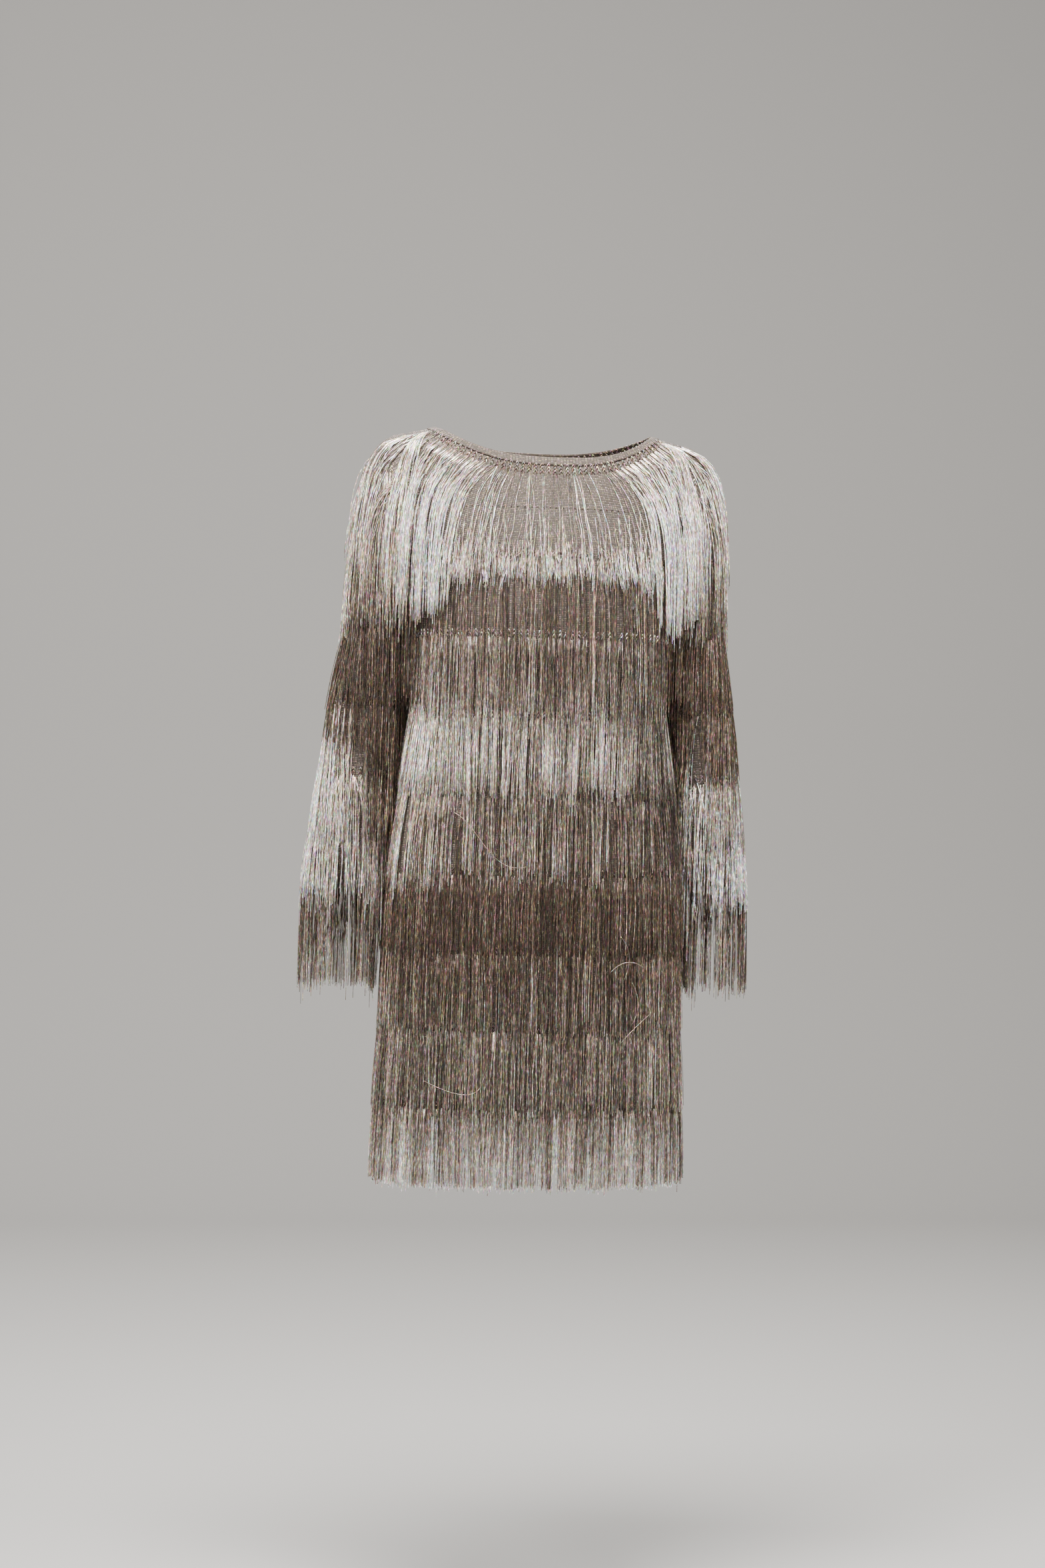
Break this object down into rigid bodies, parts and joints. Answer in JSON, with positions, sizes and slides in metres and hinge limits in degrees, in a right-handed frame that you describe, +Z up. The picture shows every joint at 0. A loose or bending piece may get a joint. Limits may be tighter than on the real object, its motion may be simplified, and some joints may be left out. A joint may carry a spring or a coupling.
{
  "type": "long-sleeved mini dress with tiered fringe",
  "caption": "Hollow knitted mini dress in its worn pose, with a wide shallow neck, long straight sleeves and overlapping tiers of long thread fringe from the neck to the hem and down to the cuffs.",
  "frame": {"origin": "midway between the two shoulder points of the neck edge, where the wearer's shoulders hold the dress", "axes": "+Z up, -Y towards the front of the dress, +X to the viewer's right as the front is seen"},
  "size_m": [0.5525, 0.2367, 0.8965],
  "materials": {
    "knit": "fine matt knit, dark taupe with a tan yoke",
    "neckband_knit": "fine ribbed knit",
    "silver_fringe": "glossy silvery thread",
    "brown_fringe": "glossy dark brown thread",
    "taupe_fringe": "glossy taupe thread"
  },
  "bodies": {
    "root": {"front": "knit", "back": "knit", "sleeve_left": "knit", "sleeve_right": "knit", "neckband": "neckband_knit", "fringe_1_front": "silver_fringe", "fringe_1_back": "silver_fringe", "fringe_2_front": "brown_fringe", "fringe_2_back": "brown_fringe", "fringe_3": "silver_fringe", "fringe_4": "silver_fringe", "fringe_5": "brown_fringe", "fringe_6": "brown_fringe", "fringe_7": "taupe_fringe", "fringe_8": "taupe_fringe", "fringe_9": "brown_fringe", "left_fringe_1": "silver_fringe", "left_fringe_2": "brown_fringe", "left_fringe_3": "brown_fringe", "left_fringe_4": "silver_fringe", "left_fringe_5": "silver_fringe", "left_fringe_6": "taupe_fringe", "right_fringe_1": "silver_fringe", "right_fringe_2": "brown_fringe", "right_fringe_3": "brown_fringe", "right_fringe_4": "silver_fringe", "right_fringe_5": "silver_fringe", "right_fringe_6": "taupe_fringe"}
  },
  "joints": []
}
